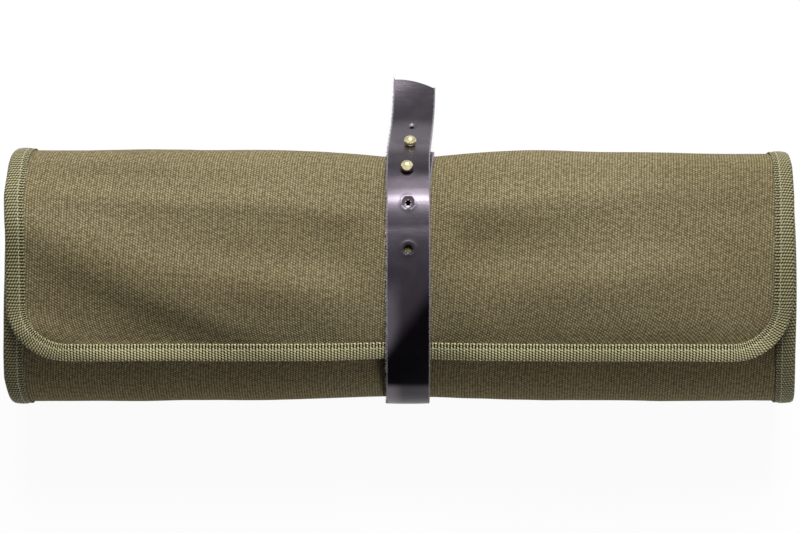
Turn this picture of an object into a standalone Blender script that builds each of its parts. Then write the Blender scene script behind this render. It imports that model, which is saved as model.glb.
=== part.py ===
# A rolled-up canvas knife roll on a table, closed by a leather strap with two brass button studs.
# Metres. X runs along the roll, Y from its front to its back, Z up. The origin is on the table,
# under the middle of the whole object's box.
import bisect
import math

import bmesh
import bpy
import numpy as np
from mathutils import Matrix, Vector

# The roll, measured over the outer canvas
ROLL_WIDTH = 0.448
ROLL_DEPTH = 0.1474
ROLL_HEIGHT = 0.0904
TABLE_FLAT = 0.060

# The sewn panel
CANVAS_THICK = 0.0012
LINING_THICK = 0.0010
TAPE_THICK = 0.0008
TAPE_SHOWN = 0.0114
CORNER_RADIUS = 0.034
FIT = 0.0003

# How the panel is wound: steady growth after the first turn
LAP_SLACK = 0.0004
SPIRAL_GROWTH = 0.015
POCKET_PUFF = 0.0070
POCKET_THICK = 0.0010
POCKET_FOOT = 0.0040
POCKET_GAP_SHARE = 0.25
POCKET_END_TAPER = 0.018
POCKET_MOUTH_X = 0.070

# Leather strap, its waist in the roll, studs and rivets
STRAP_WIDTH = 0.025
STRAP_THICK = 0.0025
STRAP_X = 0.0044
STUD_END_SHIFT = 0.0016
TAIL_DRIFT = 0.0034
HOLE_PITCH = 0.0265
STUD_PITCH = 0.0250
FIRST_HOLE_FROM_STUD = 0.0205
HOLE_RADIUS = 0.0024
STRAP_GAP = 0.0004
WAIST_TOP = 0.0027
WAIST_FRONT = 0.0017
WAIST_BACK = 0.0039
WAIST_BOTTOM = 0.0037
WAIST_REACH = 0.095
WAIST_FLAT = 0.0150
TAIL_END_HEIGHT = 0.0006
TAIL_FLARE = 0.0450
TAIL_LEAVE_REACH = 0.010
TAIL_FOOT_REACH = 0.028
TAIL_FOOT_SLOPE = 30.0
TAIL_CORNER = 0.004
TAIL_CORNER_IN = 0.002
DRIFT_POWER = 1.5
DRILL_LENGTH = 0.010

STUD_HEAD_RADIUS = 0.0037
STUD_NECK_RADIUS = 0.0020
STUD_HEAD_CLEAR = 0.0006
STUD_FLANGE_RADIUS = 0.0036
STUD_FLANGE_THICK = 0.0005
SCREW_RADIUS = 0.0009
SCREW_HEAD_RADIUS = 0.0034
SCREW_HEAD_THICK = 0.0005

RIVET_RADIUS = 0.0016
RIVET_HEAD_RADIUS = 0.0045
RIVET_HEAD_THICK = 0.0010
RIVET_CROWN_SHARE = 0.7
RIVET_RIM_SHARE = 0.6
RIVET_SPACING = 0.044
WASHER_THICK = 0.0008

# Wrap angles in degrees: 0 is the top of the outer turn, and the wrap goes over the back, under
# the bottom, up the front and on inside. The flat under the roll counts as FLAT_SWEEP degrees.
FLAT_SWEEP = 60.0
FULL_TURN = 360.0 + FLAT_SWEEP
UNDERSIDE = 180.0 + FLAT_SWEEP / 2
FOREMOST = 270.0 + FLAT_SWEEP
FLAP_TIP = -41.5
FLAP_HINGE = 35.0
LAP_START = 322.0
LAP_END = 376.0
WAIST_FADE_START = 370.0
WAIST_FADE_END = 440.0
INNER_END = 856.0
POCKET_START = 430.0
POCKET_SWEEP = 79.0
STRAP_FRONT_HINGE = 300.0
STRAP_TOP_HINGE = -35.0
STRAP_TAIL_HINGE = 42.5
STRAP_BACK_HINGE = 122.0
STUD_END_TIP = 38.0
LOWER_STUD = 53.7
TAPE_RAMP = 10.0
RIDE_START = 22.0
RIDE_END = 37.0
TAIL_LEAVES = 78.0

HALF_TURN_FACETS = 14
ARC_SAMPLES = 200
STRAP_SAMPLE_ANGLE = 1.0
STRAP_STEP = 0.0045
STRAP_SWEEP_STEP = 7.0
CORNER_STEPS = 8
FLAP_STEP = 0.0080
POCKET_COUNT = 5
ROUND_SEGMENTS = 16
HEAD_STEPS = 6
TAIL_POINTS = 40
CLOTH_CREASE = 30.0
BAR_CREASE = 40.0

# Half widths of the panel along the wrap, as shares of half the flap's width
EDGE_SHARES = ((-60.0, 1.0), (40.0, 1.0), (105.0, 1.011), (240.0, 1.024), (330.0, 1.033),
               (385.0, 1.016), (900.0, 1.009))
# Places across the panel, as shares of the waist's reach from the strap's middle
WAIST_SHARES = (-1.0, -0.55, -WAIST_FLAT / WAIST_REACH, WAIST_FLAT / WAIST_REACH, 0.55, 1.0)
# Profile of a pocket across its width: share of the width, share of the puff
POCKET_SHARES = ((0.17, 0.80), (0.34, 1.0), (0.66, 1.0), (0.83, 0.80))

# Depths of the layers, inwards from the outer canvas's outer face
CENTRE_Z = TAPE_THICK + FIT + ROLL_HEIGHT / 2
LINING_TOP = CANVAS_THICK + FIT
LINING_BACK = LINING_TOP + LINING_THICK
TAPE_OUTER = -(FIT + TAPE_THICK)
TAPE_INNER = LINING_BACK + FIT + TAPE_THICK
LAP_INSET = TAPE_INNER - TAPE_OUTER + FIT + LAP_SLACK
STRAP_IN = -FIT
STRAP_OUT = -(FIT + STRAP_THICK)
RIDE = STRAP_THICK + FIT
POCKET_ON = LINING_BACK + FIT


def smooth(value):
    value = min(max(value, 0.0), 1.0)
    return value * value * (3 - 2 * value)


def spiral_inset(wrap):
    lap = LAP_INSET * smooth((wrap - LAP_START) / (LAP_END - LAP_START))
    return lap + SPIRAL_GROWTH * max(0.0, (wrap - FULL_TURN) / FULL_TURN)


def waist_share(x, wrap):
    away = (abs(x - STRAP_X) - WAIST_FLAT) / (WAIST_REACH - WAIST_FLAT)
    fade = 1 - smooth((wrap - WAIST_FADE_START) / (WAIST_FADE_END - WAIST_FADE_START))
    return fade * max(0.0, 1 - max(0.0, away)) ** 2


def direction(wrap):
    """Angle from straight up in radians, and the place on the flat: 1 at its back, -1 at its front."""
    turn_angle = (wrap + FULL_TURN) % FULL_TURN
    if turn_angle <= 180:
        return math.radians(turn_angle), 1.0
    if turn_angle < 180 + FLAT_SWEEP:
        return math.pi, 1 - 2 * (turn_angle - 180) / FLAT_SWEEP
    return math.radians(turn_angle - FLAT_SWEEP), -1.0


def smooth_point(wrap, x, depth):
    """A point of the smooth roll: depth counts inwards from the outer canvas's outer face."""
    angle, slide = direction(wrap)
    inset = spiral_inset(wrap) + depth
    waist = waist_share(x, wrap)
    side_waist = WAIST_BACK if math.sin(angle) > 0 else WAIST_FRONT
    reach = ROLL_DEPTH / 2 - inset - side_waist * waist
    if math.cos(angle) >= 0:
        rise = ROLL_HEIGHT / 2 - inset - WAIST_TOP * waist
        return Vector((x, reach * math.sin(angle), CENTRE_Z + rise * math.cos(angle)))
    rise = ROLL_HEIGHT / 2 - inset - WAIST_BOTTOM * waist
    across = TABLE_FLAT / 2 * slide + (reach - TABLE_FLAT / 2) * math.sin(angle)
    return Vector((x, across, CENTRE_Z + rise * math.cos(angle)))


def edge_x(wrap):
    angles = [share[0] for share in EDGE_SHARES]
    shares = [share[1] for share in EDGE_SHARES]
    return ROLL_WIDTH / 2 * float(np.interp(wrap, angles, shares))


def fold_angles():
    """Wrap angles where the panel's facets meet, the same for every layer, from -1 turn to 3 turns."""
    half = [180.0 * i / HALF_TURN_FACETS for i in range(HALF_TURN_FACETS + 1)]
    turn = half[:-1] + [180.0] + [angle + 180.0 + FLAT_SWEEP for angle in half[:-1]]
    return [angle + FULL_TURN * number for number in (-1, 0, 1, 2) for angle in turn]


FOLDS = fold_angles()


def roll_point(wrap, x, depth):
    """A point of the faceted panel, on the straight line between the two nearest folds."""
    above = bisect.bisect_right(FOLDS, wrap)
    low = FOLDS[above - 1]
    high = FOLDS[above]
    share = (wrap - low) / (high - low)
    return smooth_point(low, x, depth).lerp(smooth_point(high, x, depth), share)


def wrap_stations(start, end):
    return [start] + [angle for angle in FOLDS if start < angle < end] + [end]


def make_object(name, bm, material, crease=CLOTH_CREASE):
    bmesh.ops.recalc_face_normals(bm, faces=bm.faces)
    mesh = bpy.data.meshes.new(name)
    bm.to_mesh(mesh)
    bm.free()
    mesh.shade_smooth()
    mesh.set_sharp_from_angle(angle=math.radians(crease))
    mesh.materials.append(material)
    piece = bpy.data.objects.new(name, mesh)
    bpy.context.scene.collection.objects.link(piece)
    return piece


def make_material(name, colour, roughness, metallic=0.0):
    material = bpy.data.materials.new(name)
    material.use_nodes = True
    shader = material.node_tree.nodes["Principled BSDF"]
    shader.inputs["Base Color"].default_value = (*colour, 1.0)
    shader.inputs["Roughness"].default_value = roughness
    shader.inputs["Metallic"].default_value = metallic
    return material


def sheet_between(front_rows, back_rows):
    """A closed sheet from two equal grids of points, its front face and its back face."""
    bm = bmesh.new()
    front = [[bm.verts.new(point) for point in row] for row in front_rows]
    back = [[bm.verts.new(point) for point in row] for row in back_rows]
    rows = len(front)
    columns = len(front[0])
    for i in range(rows - 1):
        for j in range(columns - 1):
            bm.faces.new((front[i][j], front[i][j + 1], front[i + 1][j + 1], front[i + 1][j]))
            bm.faces.new((back[i][j], back[i + 1][j], back[i + 1][j + 1], back[i][j + 1]))
    rim = [(i, 0) for i in range(rows)]
    rim += [(rows - 1, j) for j in range(1, columns)]
    rim += [(i, columns - 1) for i in range(rows - 2, -1, -1)]
    rim += [(0, j) for j in range(columns - 2, 0, -1)]
    for (i, j), (k, m) in zip(rim, rim[1:] + rim[:1]):
        bm.faces.new((front[i][j], front[k][m], back[k][m], back[i][j]))
    return bm


def swept_profile(rings):
    """A closed bar through rings of points, with flat ends."""
    bm = bmesh.new()
    loops = [[bm.verts.new(point) for point in ring] for ring in rings]
    count = len(loops[0])
    for first, second in zip(loops, loops[1:]):
        for i in range(count):
            j = (i + 1) % count
            bm.faces.new((first[i], first[j], second[j], second[i]))
    bm.faces.new(loops[0])
    bm.faces.new(list(reversed(loops[-1])))
    return bm


def turned(profile, place, axis):
    """A body of revolution: profile holds (radius, height) pairs from axis to axis along +axis."""
    bm = bmesh.new()
    spun = [bm.verts.new((radius, 0, height)) for radius, height in profile]
    edges = [bm.edges.new(pair) for pair in zip(spun, spun[1:])]
    if profile[0][0] > 0:
        edges.append(bm.edges.new((spun[-1], spun[0])))
    bmesh.ops.spin(bm, geom=spun + edges, axis=(0, 0, 1), cent=(0, 0, 0), steps=ROUND_SEGMENTS,
                   angle=2 * math.pi, use_merge=True)
    bmesh.ops.remove_doubles(bm, verts=bm.verts, dist=FIT / 10)
    turn = Vector((0, 0, 1)).rotation_difference(axis).to_matrix().to_4x4()
    bmesh.ops.transform(bm, matrix=Matrix.Translation(place) @ turn, verts=bm.verts)
    return bm


def drill(piece, places, radius, length):
    """Cut round holes of a length centred on each (place, axis)."""
    for number, (place, axis) in enumerate(places):
        bm = bmesh.new()
        bmesh.ops.create_cone(bm, cap_ends=True, segments=ROUND_SEGMENTS, radius1=radius,
                              radius2=radius, depth=length)
        turn = Vector((0, 0, 1)).rotation_difference(axis).to_matrix().to_4x4()
        bmesh.ops.transform(bm, matrix=Matrix.Translation(place) @ turn, verts=bm.verts)
        mesh = bpy.data.meshes.new(f"{piece.name}_drill_{number}")
        bm.to_mesh(mesh)
        bm.free()
        cutter = bpy.data.objects.new(mesh.name, mesh)
        cutter.hide_render = True
        cutter.display_type = "WIRE"
        bpy.context.scene.collection.objects.link(cutter)
        cut = piece.modifiers.new(cutter.name, "BOOLEAN")
        cut.operation = "DIFFERENCE"
        cut.solver = "EXACT"
        cut.object = cutter


def panel_columns(wrap, inner_margin):
    limit = edge_x(wrap) - inner_margin
    return [-limit] + [STRAP_X + share * WAIST_REACH for share in WAIST_SHARES] + [limit]


def panel_layer(name, start, end, depth, thick, material):
    """One cloth layer of the root panel, from its fold to its inner end."""
    margin = TAPE_THICK + FIT
    front_rows = []
    back_rows = []
    for wrap in wrap_stations(start, end):
        columns = panel_columns(wrap, margin)
        front_rows.append([roll_point(wrap, x, depth) for x in columns])
        back_rows.append([roll_point(wrap, x, depth + thick) for x in columns])
    return make_object(name, sheet_between(front_rows, back_rows), material)


def arc_table(depth):
    """Distance along the outer turn from the flap's tip, for wrap angles up to its hinge."""
    angles = np.linspace(FLAP_TIP, FLAP_HINGE, ARC_SAMPLES)
    points = [smooth_point(angle, edge_x(angle), depth) for angle in angles]
    steps = [(b - a).length for a, b in zip(points, points[1:])]
    return angles, np.concatenate([[0.0], np.cumsum(steps)])


ARC_ANGLES, ARC_LENGTHS = arc_table(0.0)


def wrap_at(distance):
    return float(np.interp(distance, ARC_LENGTHS, ARC_ANGLES))


def even_steps(start, end, step):
    count = max(1, math.ceil(abs(end - start) / step))
    return [start + (end - start) * i / count for i in range(count + 1)]


def flap_layer(name, depth, thick, material):
    """One cloth layer of the flap. Its two free corners are round."""
    margin = TAPE_THICK + FIT
    radius = CORNER_RADIUS - margin
    length = ARC_LENGTHS[-1] - STRAP_GAP / 2
    distances = [margin + radius * (1 - math.cos(math.pi / 2 * i / CORNER_STEPS))
                 for i in range(CORNER_STEPS + 1)]
    distances += even_steps(distances[-1], length, FLAP_STEP)[1:]
    front_rows = []
    back_rows = []
    for distance in distances:
        wrap = wrap_at(distance)
        inside = min(1.0, (distance - margin) / radius)
        limit = ROLL_WIDTH / 2 - margin - radius * (1 - math.sqrt(1 - (1 - inside) ** 2))
        columns = [-limit] + [STRAP_X + share * WAIST_REACH for share in WAIST_SHARES] + [limit]
        front_rows.append([smooth_point(wrap, x, depth) for x in columns])
        back_rows.append([smooth_point(wrap, x, depth + thick) for x in columns])
    return make_object(name, sheet_between(front_rows, back_rows), material)


def tape_profile(place):
    """The folded tape's outline. place(inwards, depth) puts a point at a distance from the edge."""
    middle = TAPE_SHOWN / 2
    inner = TAPE_INNER - TAPE_THICK
    outline = [(0, TAPE_OUTER), (middle, TAPE_OUTER), (TAPE_SHOWN, TAPE_OUTER), (TAPE_SHOWN, -FIT),
               (middle, -FIT), (TAPE_THICK, -FIT), (TAPE_THICK, inner), (middle, inner),
               (TAPE_SHOWN, inner), (TAPE_SHOWN, TAPE_INNER), (middle, TAPE_INNER), (0, TAPE_INNER)]
    return [place(inwards, depth) for inwards, depth in outline]


def side_tape(name, side, start, end, material):
    rings = []
    for wrap in wrap_stations(start, end):
        edge = edge_x(wrap)
        rings.append(tape_profile(lambda inwards, depth, w=wrap, e=edge:
                                  roll_point(w, side * (e - inwards), depth)))
    return make_object(name, swept_profile(rings), material, BAR_CREASE)


def flap_tape(name, material):
    """The tape down one side of the flap, round its two corners and up the other side."""
    half = ROLL_WIDTH / 2
    length = ARC_LENGTHS[-1] - STRAP_GAP / 2
    side = [(half, distance, 0.0) for distance in even_steps(length, CORNER_RADIUS, FLAP_STEP)[:-1]]
    corner = [(half - CORNER_RADIUS * (1 - math.cos(turn)), CORNER_RADIUS * (1 - math.sin(turn)), turn)
              for turn in (math.pi / 2 * i / CORNER_STEPS for i in range(CORNER_STEPS + 1))]
    right = side + corner
    middle = [(STRAP_X + share * WAIST_REACH, 0.0, math.pi / 2) for share in reversed(WAIST_SHARES)]
    left = [(-x, distance, math.pi - turn) for x, distance, turn in reversed(right)]
    rings = []
    for x, distance, turn in right + middle + left:
        def place(inwards, depth, x=x, distance=distance, turn=turn):
            wrap = wrap_at(distance + inwards * math.sin(turn))
            return smooth_point(wrap, x - inwards * math.cos(turn), depth)
        rings.append(tape_profile(place))
    return make_object(name, swept_profile(rings), material, BAR_CREASE)


def end_tape(name, material):
    """The tape over the panel's inner end, between the two side tapes."""
    limit = edge_x(INNER_END) - TAPE_SHOWN - FIT
    per_degree = (roll_point(INNER_END, 0, 0) - roll_point(INNER_END - 1, 0, 0)).length
    rings = []
    for x in (-limit, limit):
        rings.append(tape_profile(lambda inwards, depth, x=x:
                                  roll_point(INNER_END - inwards / per_degree, x, depth)))
    return make_object(name, swept_profile(rings), material, BAR_CREASE)


def pocket(number, material):
    """A knife pocket: cloth sewn to the lining along both sides and its left end, open at the right."""
    start = POCKET_START + number * POCKET_SWEEP
    middle = start + POCKET_SWEEP / 2
    per_degree = (roll_point(middle, 0, POCKET_ON) - roll_point(middle - 1, 0, POCKET_ON)).length
    foot = POCKET_FOOT / per_degree
    end = start + POCKET_SWEEP - foot * POCKET_GAP_SHARE
    across = [(start, 0.0), (start + foot, 0.0)]
    across += [(start + foot + (end - start - 2 * foot) * place, height) for place, height in POCKET_SHARES]
    across += [(end - foot, 0.0), (end, 0.0)]
    left = -(edge_x(start) - TAPE_SHOWN - FIT)
    along = ((left, 0.0), (left + POCKET_FOOT, 0.0), (left + POCKET_END_TAPER, 1.0), (POCKET_MOUTH_X, 1.0))
    front_rows = []
    back_rows = []
    for wrap, height in across:
        depths = [(x, POCKET_ON + POCKET_PUFF * height * taper) for x, taper in along]
        front_rows.append([roll_point(wrap, x, depth) for x, depth in depths])
        back_rows.append([roll_point(wrap, x, depth + POCKET_THICK) for x, depth in depths])
    return make_object(f"pocket_{number + 1}", sheet_between(front_rows, back_rows), material)


def strap_lift(wrap):
    """How far the long strap end stands off the roll: it rides over the flap's tape and the stud end."""
    tape_end = wrap_at(TAPE_SHOWN)
    onto_tape = smooth((wrap - FLAP_TIP + 2 * TAPE_RAMP) / TAPE_RAMP)
    off_tape = smooth((wrap - tape_end - TAPE_RAMP / 2) / TAPE_RAMP)
    over_stud_end = RIDE * smooth((wrap - RIDE_START) / (RIDE_END - RIDE_START))
    return (TAPE_THICK + FIT) * (onto_tape - off_tape) + over_stud_end


def strap_path():
    """Points of the long end's inner face, from the front hinge to its free end."""
    wraps = np.arange(STRAP_FRONT_HINGE - FULL_TURN, TAIL_LEAVES, STRAP_SAMPLE_ANGLE)
    points = [smooth_point(wrap, STRAP_X, STRAP_IN - strap_lift(wrap)) for wrap in wraps]
    leave = points[-1]
    heading = (points[-1] - points[-2]).normalized()
    foot = Vector((STRAP_X, leave.y + TAIL_FLARE, TAIL_END_HEIGHT))
    slope = math.radians(TAIL_FOOT_SLOPE)
    control_a = leave + heading * TAIL_LEAVE_REACH
    control_b = foot - Vector((0, math.cos(slope), -math.sin(slope))) * TAIL_FOOT_REACH
    for i in range(1, TAIL_POINTS + 1):
        s = i / TAIL_POINTS
        points.append(leave * (1 - s) ** 3 + control_a * 3 * s * (1 - s) ** 2
                      + control_b * 3 * s * s * (1 - s) + foot * s ** 3)
    return list(wraps), points


STRAP_WRAPS, STRAP_POINTS = strap_path()
STRAP_LENGTHS = np.concatenate([[0.0], np.cumsum([(b - a).length for a, b in
                                                   zip(STRAP_POINTS, STRAP_POINTS[1:])])])


def strap_distance(wrap):
    return float(np.interp(wrap, STRAP_WRAPS, STRAP_LENGTHS[:len(STRAP_WRAPS)]))


def strap_frame(distance):
    """Point on the inner face and the outward direction there."""
    def at(length):
        return Vector((STRAP_X,
                       float(np.interp(length, STRAP_LENGTHS, [p.y for p in STRAP_POINTS])),
                       float(np.interp(length, STRAP_LENGTHS, [p.z for p in STRAP_POINTS]))))
    ahead = at(distance + HOLE_RADIUS) - at(distance - HOLE_RADIUS)
    outward = Vector((0, -ahead.z, ahead.y)).normalized()
    return at(distance), outward


def drift(distance):
    """How far the free end has swung along the roll, past the upper stud."""
    start = strap_distance(LOWER_STUD) + STUD_PITCH
    return TAIL_DRIFT * max(0.0, (distance - start) / (STRAP_LENGTHS[-1] - start)) ** DRIFT_POWER


def strap_bar(name, start, end, material, square_end=True):
    """The long strap end between two distances along it."""
    count = math.ceil((end - start) / STRAP_STEP)
    distances = [start + (end - start) * i / count for i in range(count + 1)]
    widths = [STRAP_WIDTH / 2] * len(distances)
    if not square_end:
        distances.insert(-1, end - TAIL_CORNER)
        widths = [STRAP_WIDTH / 2] * (len(distances) - 1) + [STRAP_WIDTH / 2 - TAIL_CORNER_IN]
    rings = []
    for distance, half in zip(distances, widths):
        point, outward = strap_frame(distance)
        middle = point + Vector((drift(distance), 0, 0))
        side = Vector((half, 0, 0))
        rings.append([middle - side, middle + side, middle + side + outward * STRAP_THICK,
                      middle - side + outward * STRAP_THICK])
    return make_object(name, swept_profile(rings), material, BAR_CREASE)


def strap_wrapped(name, start, end, shift, material):
    """A strap piece that lies against the roll between two wrap angles."""
    count = math.ceil((end - start) / STRAP_SWEEP_STEP)
    rings = []
    for wrap in (start + (end - start) * i / count for i in range(count + 1)):
        left = STRAP_X + shift - STRAP_WIDTH / 2
        right = left + STRAP_WIDTH
        inner = smooth_point(wrap, STRAP_X, STRAP_IN)
        outer = smooth_point(wrap, STRAP_X, STRAP_OUT)
        rings.append([Vector((left, inner.y, inner.z)), Vector((right, inner.y, inner.z)),
                      Vector((right, outer.y, outer.z)), Vector((left, outer.y, outer.z))])
    return make_object(name, swept_profile(rings), material, BAR_CREASE)


def stud_pair(name, place, outward, brass):
    """A button stud on the stud end's outer face, and its screw from behind."""
    base = place - outward * (2 * FIT + STUD_FLANGE_THICK)
    neck = STUD_FLANGE_THICK + 2 * FIT + STRAP_THICK + STUD_HEAD_CLEAR
    start = -math.acos(STUD_NECK_RADIUS / STUD_HEAD_RADIUS)
    centre = neck - STUD_HEAD_RADIUS * math.sin(start)
    head = []
    for i in range(HEAD_STEPS + 1):
        turn = start + (math.pi / 2 - start) * i / HEAD_STEPS
        head.append((STUD_HEAD_RADIUS * math.cos(turn), centre + STUD_HEAD_RADIUS * math.sin(turn)))
    head[-1] = (0.0, head[-1][1])
    bore = SCREW_RADIUS + FIT
    profile = [(0.0, neck), (bore, neck), (bore, 0.0), (STUD_FLANGE_RADIUS, 0.0),
               (STUD_FLANGE_RADIUS, STUD_FLANGE_THICK), (STUD_NECK_RADIUS, STUD_FLANGE_THICK)] + head
    stud = make_object(f"stud_{name}", turned(profile, base, outward), brass)
    under = place - outward * (FIT + STRAP_THICK)
    shank = (base - under).length + neck - FIT
    screw_profile = [(0.0, 0.0), (SCREW_HEAD_RADIUS, 0.0), (SCREW_HEAD_RADIUS, SCREW_HEAD_THICK),
                     (SCREW_RADIUS, SCREW_HEAD_THICK), (SCREW_RADIUS, shank), (0.0, shank)]
    screw = make_object(f"stud_screw_{name}", turned(screw_profile, under, outward), brass)
    return stud, screw


def rivet_pair(name, y, brass):
    """A rivet up through the strap, canvas and lining, with a washer on the lining."""
    bottom = smooth_point(UNDERSIDE, STRAP_X, STRAP_OUT).z
    head_low = bottom - FIT - RIVET_HEAD_THICK
    top = smooth_point(UNDERSIDE, STRAP_X, POCKET_ON + WASHER_THICK).z
    height = top - head_low
    profile = [(0.0, 0.0), (RIVET_HEAD_RADIUS * RIVET_CROWN_SHARE, 0.0),
               (RIVET_HEAD_RADIUS, RIVET_HEAD_THICK * RIVET_RIM_SHARE),
               (RIVET_HEAD_RADIUS, RIVET_HEAD_THICK), (RIVET_RADIUS, RIVET_HEAD_THICK),
               (RIVET_RADIUS, height), (0.0, height)]
    place = Vector((STRAP_X, y, head_low))
    up = Vector((0, 0, 1))
    rivet = make_object(f"rivet_{name}", turned(profile, place, up), brass)
    hole = RIVET_RADIUS + FIT
    ring = [(hole, 0.0), (RIVET_HEAD_RADIUS, 0.0), (RIVET_HEAD_RADIUS, WASHER_THICK), (hole, WASHER_THICK)]
    washer_place = Vector((STRAP_X, y, top - WASHER_THICK))
    washer = make_object(f"rivet_washer_{name}", turned(ring, washer_place, up), brass)
    return rivet, washer


def body_empty(name, place, pieces, parent):
    """An empty on a joint's axis that carries the pieces of one moving body."""
    empty = bpy.data.objects.new(name, None)
    empty.location = place
    bpy.context.scene.collection.objects.link(empty)
    for piece in pieces:
        piece.data.transform(Matrix.Translation(-place))
        piece.parent = empty
    empty.parent = parent
    return empty


def main():
    for item in list(bpy.data.objects):
        bpy.data.objects.remove(item, do_unlink=True)
    canvas = make_material("canvas", (0.19, 0.155, 0.075), 0.85)
    cloth = make_material("lining_cloth", (0.11, 0.10, 0.07), 0.9)
    tape = make_material("webbing_tape", (0.24, 0.235, 0.145), 0.8)
    leather = make_material("leather", (0.022, 0.018, 0.024), 0.3)
    brass = make_material("brass", (0.72, 0.52, 0.2), 0.25, 1.0)

    hinge_gap = STRAP_GAP / 2 / (ROLL_DEPTH / 2)
    fold = FLAP_HINGE + math.degrees(hinge_gap)
    per_degree = (smooth_point(INNER_END, 0, 0) - smooth_point(INNER_END - 1, 0, 0)).length
    end_margin = (TAPE_THICK + FIT) / per_degree
    outer_canvas = panel_layer("outer_canvas", fold, INNER_END - end_margin, 0.0, CANVAS_THICK, canvas)
    lining = panel_layer("lining", fold, INNER_END - end_margin, LINING_TOP, LINING_THICK, cloth)
    root = [outer_canvas, lining]
    root.append(side_tape("left_binding", -1, fold, INNER_END, tape))
    root.append(side_tape("right_binding", 1, fold, INNER_END, tape))
    root.append(end_tape("inner_end_binding", tape))
    root += [pocket(number, cloth) for number in range(POCKET_COUNT)]

    flap = [flap_layer("flap_canvas", 0.0, CANVAS_THICK, canvas),
            flap_layer("flap_lining", LINING_TOP, LINING_THICK, cloth),
            flap_tape("flap_binding", tape)]

    gap_angle = math.degrees(STRAP_GAP / 2 / (ROLL_HEIGHT / 2))
    strap_back = strap_wrapped("strap_back", STRAP_BACK_HINGE + gap_angle,
                               STRAP_FRONT_HINGE - gap_angle, 0.0, leather)
    stud_strap = strap_wrapped("strap_stud_end", STUD_END_TIP, STRAP_BACK_HINGE - gap_angle,
                               STUD_END_SHIFT, leather)
    start = STRAP_GAP / 2
    top_cut = strap_distance(STRAP_TOP_HINGE)
    tail_cut = strap_distance(STRAP_TAIL_HINGE)
    strap_front = strap_bar("strap_front", start, top_cut - STRAP_GAP / 2, leather)
    strap_top = strap_bar("strap_top", top_cut + STRAP_GAP / 2, tail_cut - STRAP_GAP / 2, leather)
    strap_tail = strap_bar("strap_tail", tail_cut + STRAP_GAP / 2, STRAP_LENGTHS[-1], leather, False)

    lower = strap_distance(LOWER_STUD)
    first = lower - FIRST_HOLE_FROM_STUD
    last = lower + STUD_PITCH + HOLE_PITCH
    stud_places = (strap_frame(lower), strap_frame(lower + STUD_PITCH))
    drill(strap_top, [strap_frame(first), strap_frame(first - HOLE_PITCH)], HOLE_RADIUS, DRILL_LENGTH)
    past_studs, past_out = strap_frame(last)
    past_studs = past_studs + Vector((drift(last), 0, 0))
    drill(strap_tail, [*stud_places, (past_studs, past_out)], HOLE_RADIUS, DRILL_LENGTH)

    stud_parts = []
    bores = []
    recesses = []
    for name, (place, outward) in zip(("lower", "upper"), stud_places):
        stud_parts += stud_pair(name, place, outward, brass)
        bores.append((place - outward * (FIT + STRAP_THICK / 2), outward))
        recesses.append((place - outward * FIT, outward))
        recesses.append((place - outward * (FIT + STRAP_THICK), outward))
    drill(stud_strap, bores, SCREW_RADIUS + FIT, DRILL_LENGTH)
    drill(stud_strap, recesses[::2], STUD_FLANGE_RADIUS + FIT, 2 * (STUD_FLANGE_THICK + 2 * FIT))
    drill(stud_strap, recesses[1::2], SCREW_HEAD_RADIUS + FIT, 2 * (SCREW_HEAD_THICK + FIT))

    rivets = []
    rivet_places = []
    for name, y in (("front", -RIVET_SPACING / 2), ("rear", RIVET_SPACING / 2)):
        rivets += rivet_pair(name, y, brass)
        rivet_places.append((Vector((STRAP_X, y, smooth_point(UNDERSIDE, STRAP_X, 0).z)), Vector((0, 0, 1))))
    for piece in (strap_back, outer_canvas, lining):
        drill(piece, rivet_places, RIVET_RADIUS + FIT, DRILL_LENGTH)
    root += [strap_back] + rivets

    tape_front = smooth_point(FOREMOST, edge_x(FOREMOST), TAPE_OUTER)
    strap_face = smooth_point(FOREMOST - FULL_TURN, STRAP_X, STRAP_OUT)
    front_reach = max(-tape_front.y, -strap_face.y)
    tail_end, outward = strap_frame(STRAP_LENGTHS[-1])
    back_reach = max(tail_end.y, (tail_end + outward * STRAP_THICK).y)
    stand = bpy.data.objects.new("stand_point", None)
    bpy.context.scene.collection.objects.link(stand)

    hinge_side = smooth_point(FLAP_HINGE, edge_x(FLAP_HINGE), TAPE_OUTER)
    flap_axis = Vector((0.0, hinge_side.y, hinge_side.z))
    front_axis = smooth_point(STRAP_FRONT_HINGE, STRAP_X, STRAP_OUT)
    top_axis, top_out = strap_frame(top_cut)
    tail_axis, tail_out = strap_frame(tail_cut)
    back_axis = smooth_point(STRAP_BACK_HINGE, STRAP_X, STRAP_OUT)
    body_empty("flap_axis", flap_axis, flap, stand)
    body_empty("stud_end_axis", back_axis, [stud_strap] + stud_parts, stand)
    front_body = body_empty("strap_front_axis", front_axis, [strap_front], stand)
    top_place = top_axis + top_out * STRAP_THICK
    top_body = body_empty("strap_top_axis", top_place, [strap_top], None)
    tail_place = tail_axis + tail_out * STRAP_THICK
    tail_body = body_empty("strap_tail_axis", tail_place, [strap_tail], None)
    bpy.context.view_layer.update()
    for child, parent in ((top_body, front_body), (tail_body, top_body)):
        child.location = child.location - (front_axis if parent is front_body else top_place)
        child.parent = parent
    for piece in root:
        piece.parent = stand
    cutters = [item for item in bpy.data.objects if item.display_type == "WIRE" and item.type == "MESH"]
    for cutter in cutters:
        cutter.parent = stand
    stand.location.y = (front_reach - back_reach) / 2
    for label, place in (("flap", flap_axis), ("strap front", front_axis), ("strap top", top_place),
                         ("strap tail", tail_place), ("stud end", back_axis)):
        print("axis of", label, [round(value, 6) for value in place + stand.location])


main()
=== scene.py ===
import math
import random

import bmesh
import bpy
import numpy as np
from mathutils import Matrix, Vector, noise


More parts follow.
